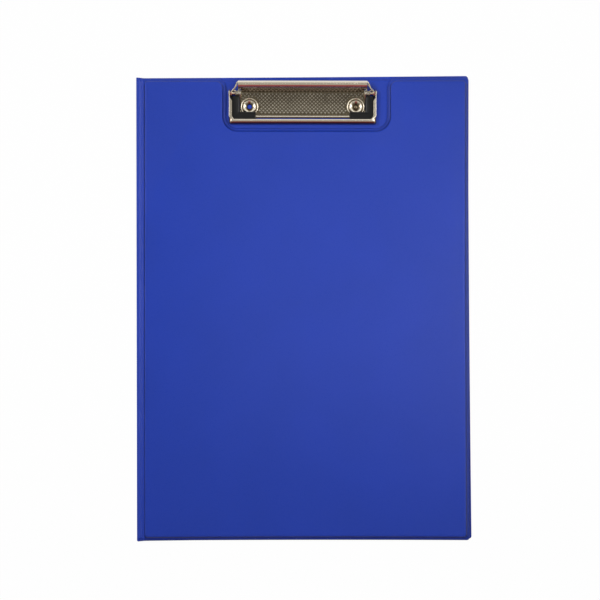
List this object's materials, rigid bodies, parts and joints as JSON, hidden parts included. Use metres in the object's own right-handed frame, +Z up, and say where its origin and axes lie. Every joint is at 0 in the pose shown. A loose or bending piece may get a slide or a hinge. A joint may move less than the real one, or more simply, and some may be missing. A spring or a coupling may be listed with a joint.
{
  "type": "foldover spring clip folder",
  "caption": "Blue PVC foldover clipboard folder with a hinged front cover, notched round a sprung nickel clip with a knurled base plate and black corner pads.",
  "frame": {"origin": "centre of the closed folder, on the face that lies on the desk", "axes": "+X from the spine to the fore edge, +Y from the foot to the clip end, +Z up out of the desk through the closed front cover"},
  "size_m": [0.23, 0.32, 0.013],
  "materials": {
    "pvc_skin": "fine leather grain, satin",
    "pvc_lining": "smooth satin",
    "grey_board": "raw grey board",
    "nickel_plate": "bright nickel plating",
    "nickel_knurled": "nickel plating over a diamond knurl",
    "spring_steel": "nickel-plated wire",
    "pad_black": "soft moulded plastic"
  },
  "bodies": {
    "back": {"back_outer_skin": "pvc_skin", "back_board": "grey_board", "back_inner_lining": "pvc_lining", "base_plate": "nickel_knurled", "left_rivet": "nickel_plate", "right_rivet": "nickel_plate", "left_pin": "nickel_plate", "right_pin": "nickel_plate", "left_spring": "spring_steel", "right_spring": "spring_steel"},
    "spine": {"spine_outer_skin": "pvc_skin", "spine_inner_lining": "pvc_lining", "spine_fold": "pvc_skin"},
    "front_cover": {"front_inner_lining": "pvc_lining", "front_board": "grey_board", "front_outer_skin": "pvc_skin", "front_pocket": "pvc_lining"},
    "clamp": {"clamp_frame": "nickel_plate", "thumb_lever": "nickel_plate", "left_pad": "pad_black", "right_pad": "pad_black"}
  },
  "joints": [
    {"name": "spine_hinge", "type": "hinge", "parent": "back", "child": "spine", "pos_m": [-0.11035, 0, 0.00135], "axis": [0, -1, 0], "range_deg": [0, 73.3]},
    {"name": "cover_hinge", "type": "hinge", "parent": "spine", "child": "front_cover", "pos_m": [-0.11465, 0, 0.00455], "axis": [0, -1, 0], "range_deg": [0, 286.7]},
    {"name": "clip_hinge", "type": "hinge", "parent": "back", "child": "clamp", "pos_m": [0, 0.1482, 0.006], "axis": [-1, 0, 0], "range_deg": [0, 24], "stiffness_Nm_per_rad": 0.5, "springref_deg": -28.65, "deforming": ["left_spring", "right_spring"]}
  ]
}
